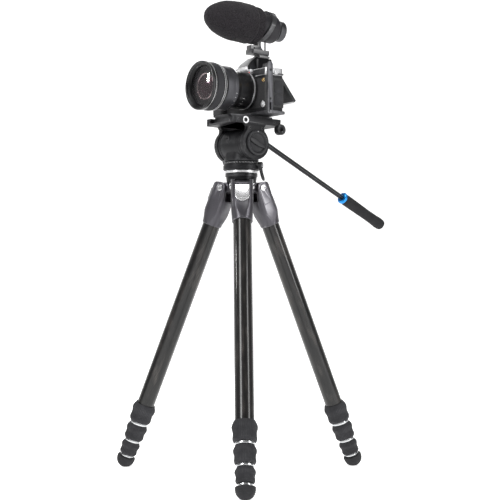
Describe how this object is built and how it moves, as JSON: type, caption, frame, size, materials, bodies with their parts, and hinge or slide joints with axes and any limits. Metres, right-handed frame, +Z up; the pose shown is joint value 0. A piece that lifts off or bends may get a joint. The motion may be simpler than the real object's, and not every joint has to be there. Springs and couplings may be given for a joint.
{
  "type": "mirrorless camera and shotgun microphone on video tripod",
  "caption": "Mirrorless camera with shotgun microphone on a fluid video head with pan bar and a columnless three-leg carbon tripod.",
  "frame": {"origin": "on the pan axis, at the level of the floor under the three soles", "axes": "+Z up along the pan axis, -Y the way the lens looks, +X towards the camera's connector side"},
  "size_m": [0.4153, 0.5182, 0.7695],
  "materials": {
    "black_metal": "fine matt black paint",
    "black_plastic": "fine textured plastic",
    "blue": "blue anodised",
    "carbon": "clear-coated carbon fibre weave",
    "casting": "satin painted magnesium",
    "foam": "open-cell foam",
    "glass": "coated optical glass",
    "grey_metal": "satin grey anodised",
    "leatherette": "pebbled leatherette",
    "rubber": "moulded rubber",
    "silver": "satin silver",
    "steel": "plated steel"
  },
  "bodies": {
    "frame": {"spider": "casting", "hinge_pins": "steel", "level_bowl": "black_metal"},
    "leg_1": {"shoulder_leg_1": "casting", "tube_1_leg_1": "carbon"},
    "tab_1": {"stop_tab_leg_1": "steel"},
    "lock_1_body_1": {"lock_1_leg_1": "rubber"},
    "section_2_1": {"tube_2_leg_1": "carbon"},
    "lock_2_body_1": {"lock_2_leg_1": "rubber"},
    "section_3_1": {"tube_3_leg_1": "carbon"},
    "lock_3_body_1": {"lock_3_leg_1": "rubber"},
    "section_4_1": {"foot_section_leg_1": "rubber"},
    "leg_2": {"shoulder_leg_2": "casting", "tube_1_leg_2": "carbon"},
    "tab_2": {"stop_tab_leg_2": "steel"},
    "lock_1_body_2": {"lock_1_leg_2": "rubber"},
    "section_2_2": {"tube_2_leg_2": "carbon"},
    "lock_2_body_2": {"lock_2_leg_2": "rubber"},
    "section_3_2": {"tube_3_leg_2": "carbon"},
    "lock_3_body_2": {"lock_3_leg_2": "rubber"},
    "section_4_2": {"foot_section_leg_2": "rubber"},
    "leg_3": {"shoulder_leg_3": "casting", "tube_1_leg_3": "carbon"},
    "tab_3": {"stop_tab_leg_3": "steel"},
    "lock_1_body_3": {"lock_1_leg_3": "rubber"},
    "section_2_3": {"tube_2_leg_3": "carbon"},
    "lock_2_body_3": {"lock_2_leg_3": "rubber"},
    "section_3_3": {"tube_3_leg_3": "carbon"},
    "lock_3_body_3": {"lock_3_leg_3": "rubber"},
    "section_4_3": {"foot_section_leg_3": "rubber"},
    "washer": {"clamp_washer": "steel"},
    "ball": {"level_ball": "black_metal", "pan_base": "black_metal"},
    "grip": {"level_handle": "black_plastic"},
    "head": {"head_housing": "black_metal"},
    "pan_lever": {"pan_lock_lever": "black_plastic"},
    "cradle": {"platform": "black_metal"},
    "drag_knob": {"tilt_drag_knob": "black_plastic"},
    "tilt_lever": {"tilt_lock_lever": "black_plastic"},
    "plate": {"quick_plate": "black_metal", "bracket": "grey_metal", "camera_body": "leatherette", "top_plate": "silver", "lens_barrel": "black_metal", "front_glass": "glass", "mic_body": "black_plastic", "windscreen": "foam", "shock_mount": "grey_metal"},
    "plate_knob": {"plate_lock_knob": "black_plastic"},
    "bar": {"pan_bar": "black_metal", "bar_ring": "blue", "bar_grip": "rubber"},
    "bar_knob": {"bar_clamp_knob": "black_plastic"},
    "screen": {"lcd_screen": "black_plastic"},
    "release": {"shutter_button": "steel"},
    "iso": {"iso_dial": "silver"},
    "shutter": {"shutter_dial": "silver"},
    "zoom": {"zoom_ring": "grey_metal"},
    "focus": {"focus_ring": "rubber"},
    "gain": {"mic_dial": "steel"}
  },
  "joints": [
    {"name": "leg_1_fold", "type": "hinge", "parent": "frame", "child": "leg_1", "pos_m": [0.02452, -0.01814, 0.4669], "axis": [-0.5948, -0.8039, 0], "range_deg": [-22, 0]},
    {"name": "stop_tab_1_pull", "type": "slide", "parent": "leg_1", "child": "tab_1", "axis": [0.7394, -0.5471, 0.3923], "range_m": [0, 0.005], "stiffness_N_per_m": 300},
    {"name": "lock_1_1_twist", "type": "hinge", "parent": "leg_1", "child": "lock_1_body_1", "pos_m": [0.02452, -0.01814, 0.4669], "axis": [0.3154, -0.2334, -0.9198], "range_deg": [0, 90]},
    {"name": "section_2_1_slide", "type": "slide", "parent": "leg_1", "child": "section_2_1", "axis": [0.3154, -0.2334, -0.9198], "range_m": [0, 0.33]},
    {"name": "lock_2_1_twist", "type": "hinge", "parent": "section_2_1", "child": "lock_2_body_1", "pos_m": [0.02452, -0.01814, 0.4669], "axis": [0.3154, -0.2334, -0.9198], "range_deg": [0, 90]},
    {"name": "section_3_1_slide", "type": "slide", "parent": "section_2_1", "child": "section_3_1", "axis": [0.3154, -0.2334, -0.9198], "range_m": [0, 0.33]},
    {"name": "lock_3_1_twist", "type": "hinge", "parent": "section_3_1", "child": "lock_3_body_1", "pos_m": [0.02452, -0.01814, 0.4669], "axis": [0.3154, -0.2334, -0.9198], "range_deg": [0, 90]},
    {"name": "section_4_1_slide", "type": "slide", "parent": "section_3_1", "child": "section_4_1", "axis": [0.3154, -0.2334, -0.9198], "range_m": [0, 0.33]},
    {"name": "leg_2_fold", "type": "hinge", "parent": "frame", "child": "leg_2", "pos_m": [0.00345, 0.0303, 0.4669], "axis": [0.9936, -0.1132, 0], "range_deg": [-22, 0]},
    {"name": "stop_tab_2_pull", "type": "slide", "parent": "leg_2", "child": "tab_2", "axis": [0.1041, 0.9139, 0.3923], "range_m": [0, 0.005], "stiffness_N_per_m": 300},
    {"name": "lock_1_2_twist", "type": "hinge", "parent": "leg_2", "child": "lock_1_body_2", "pos_m": [0.00345, 0.0303, 0.4669], "axis": [0.0444, 0.3898, -0.9198], "range_deg": [0, 90]},
    {"name": "section_2_2_slide", "type": "slide", "parent": "leg_2", "child": "section_2_2", "axis": [0.0444, 0.3898, -0.9198], "range_m": [0, 0.33]},
    {"name": "lock_2_2_twist", "type": "hinge", "parent": "section_2_2", "child": "lock_2_body_2", "pos_m": [0.00345, 0.0303, 0.4669], "axis": [0.0444, 0.3898, -0.9198], "range_deg": [0, 90]},
    {"name": "section_3_2_slide", "type": "slide", "parent": "section_2_2", "child": "section_3_2", "axis": [0.0444, 0.3898, -0.9198], "range_m": [0, 0.33]},
    {"name": "lock_3_2_twist", "type": "hinge", "parent": "section_3_2", "child": "lock_3_body_2", "pos_m": [0.00345, 0.0303, 0.4669], "axis": [0.0444, 0.3898, -0.9198], "range_deg": [0, 90]},
    {"name": "section_4_2_slide", "type": "slide", "parent": "section_3_2", "child": "section_4_2", "axis": [0.0444, 0.3898, -0.9198], "range_m": [0, 0.33]},
    {"name": "leg_3_fold", "type": "hinge", "parent": "frame", "child": "leg_3", "pos_m": [-0.02797, -0.01216, 0.4669], "axis": [-0.3987, 0.9171, 0], "range_deg": [-22, 0]},
    {"name": "stop_tab_3_pull", "type": "slide", "parent": "leg_3", "child": "tab_3", "axis": [-0.8435, -0.3668, 0.3923], "range_m": [0, 0.005], "stiffness_N_per_m": 300},
    {"name": "lock_1_3_twist", "type": "hinge", "parent": "leg_3", "child": "lock_1_body_3", "pos_m": [-0.02797, -0.01216, 0.4669], "axis": [-0.3598, -0.1564, -0.9198], "range_deg": [0, 90]},
    {"name": "section_2_3_slide", "type": "slide", "parent": "leg_3", "child": "section_2_3", "axis": [-0.3598, -0.1564, -0.9198], "range_m": [0, 0.33]},
    {"name": "lock_2_3_twist", "type": "hinge", "parent": "section_2_3", "child": "lock_2_body_3", "pos_m": [-0.02797, -0.01216, 0.4669], "axis": [-0.3598, -0.1564, -0.9198], "range_deg": [0, 90]},
    {"name": "section_3_3_slide", "type": "slide", "parent": "section_2_3", "child": "section_3_3", "axis": [-0.3598, -0.1564, -0.9198], "range_m": [0, 0.33]},
    {"name": "lock_3_3_twist", "type": "hinge", "parent": "section_3_3", "child": "lock_3_body_3", "pos_m": [-0.02797, -0.01216, 0.4669], "axis": [-0.3598, -0.1564, -0.9198], "range_deg": [0, 90]},
    {"name": "section_4_3_slide", "type": "slide", "parent": "section_3_3", "child": "section_4_3", "axis": [-0.3598, -0.1564, -0.9198], "range_m": [0, 0.33]},
    {"name": "level_direction", "type": "hinge", "parent": "frame", "child": "washer", "pos_m": [0, 0, 0.4833], "axis": [0, 0, 1], "continuous": true},
    {"name": "level_tilt", "type": "hinge", "parent": "washer", "child": "ball", "pos_m": [0, 0, 0.4833], "axis": [0, -1, 0], "range_deg": [0, 15]},
    {"name": "level_grip_turn", "type": "hinge", "parent": "ball", "child": "grip", "pos_m": [0, 0, 0.4833], "axis": [0, 0, 1], "range_deg": [0, 360]},
    {"name": "pan", "type": "hinge", "parent": "ball", "child": "head", "pos_m": [0, 0, 0.5085], "axis": [0, 0, 1], "continuous": true},
    {"name": "pan_lock_turn", "type": "hinge", "parent": "ball", "child": "pan_lever", "pos_m": [0.02658, 0.01413, 0.5018], "axis": [0.8829, 0.4695, 0], "range_deg": [0, 60]},
    {"name": "tilt", "type": "hinge", "parent": "head", "child": "cradle", "pos_m": [0, 0, 0.5361], "axis": [-1, 0, 0], "range_deg": [-75, 75]},
    {"name": "tilt_drag_turn", "type": "hinge", "parent": "cradle", "child": "drag_knob", "pos_m": [0.0384, 0, 0.5361], "axis": [1, 0, 0], "range_deg": [0, 270]},
    {"name": "tilt_lock_turn", "type": "hinge", "parent": "cradle", "child": "tilt_lever", "pos_m": [-0.0384, 0, 0.5361], "axis": [1, 0, 0], "range_deg": [0, 80]},
    {"name": "plate_slide", "type": "slide", "parent": "cradle", "child": "plate", "axis": [0, 1, 0], "range_m": [-0.02, 0.02]},
    {"name": "plate_lock_turn", "type": "hinge", "parent": "cradle", "child": "plate_knob", "pos_m": [-0.0385, 0.005, 0.5721], "axis": [-1, 0, 0], "range_deg": [0, 360]},
    {"name": "pan_bar_angle", "type": "hinge", "parent": "cradle", "child": "bar", "pos_m": [-0.0445, 0.05, 0.5611], "axis": [1, 0, 0], "range_deg": [-40, 60]},
    {"name": "bar_clamp_turn", "type": "hinge", "parent": "bar", "child": "bar_knob", "pos_m": [-0.0575, 0.05, 0.5611], "axis": [-1, 0, 0], "range_deg": [0, 360]},
    {"name": "screen_tilt", "type": "hinge", "parent": "plate", "child": "screen", "pos_m": [-0.004, 0.049, 0.6534], "axis": [1, 0, 0], "range_deg": [-40, 50]},
    {"name": "shutter_press", "type": "slide", "parent": "plate", "child": "release", "axis": [0, 0, -1], "range_m": [0, 0.0015], "stiffness_N_per_m": 300},
    {"name": "iso_turn", "type": "hinge", "parent": "plate", "child": "iso", "pos_m": [0.037, 0.025, 0.6579], "axis": [0, 0, 1], "continuous": true},
    {"name": "shutter_turn", "type": "hinge", "parent": "plate", "child": "shutter", "pos_m": [-0.036, 0.025, 0.6579], "axis": [0, 0, 1], "continuous": true},
    {"name": "zoom_turn", "type": "hinge", "parent": "plate", "child": "zoom", "pos_m": [0, -0.0535, 0.6254], "axis": [0, -1, 0], "range_deg": [0, 90]},
    {"name": "focus_turn", "type": "hinge", "parent": "plate", "child": "focus", "pos_m": [0, -0.076, 0.6254], "axis": [0, -1, 0], "continuous": true},
    {"name": "mic_gain_turn", "type": "hinge", "parent": "plate", "child": "gain", "pos_m": [0, 0.06697, 0.73279], "axis": [0, 0.9985, -0.0541], "range_deg": [0, 270]}
  ]
}
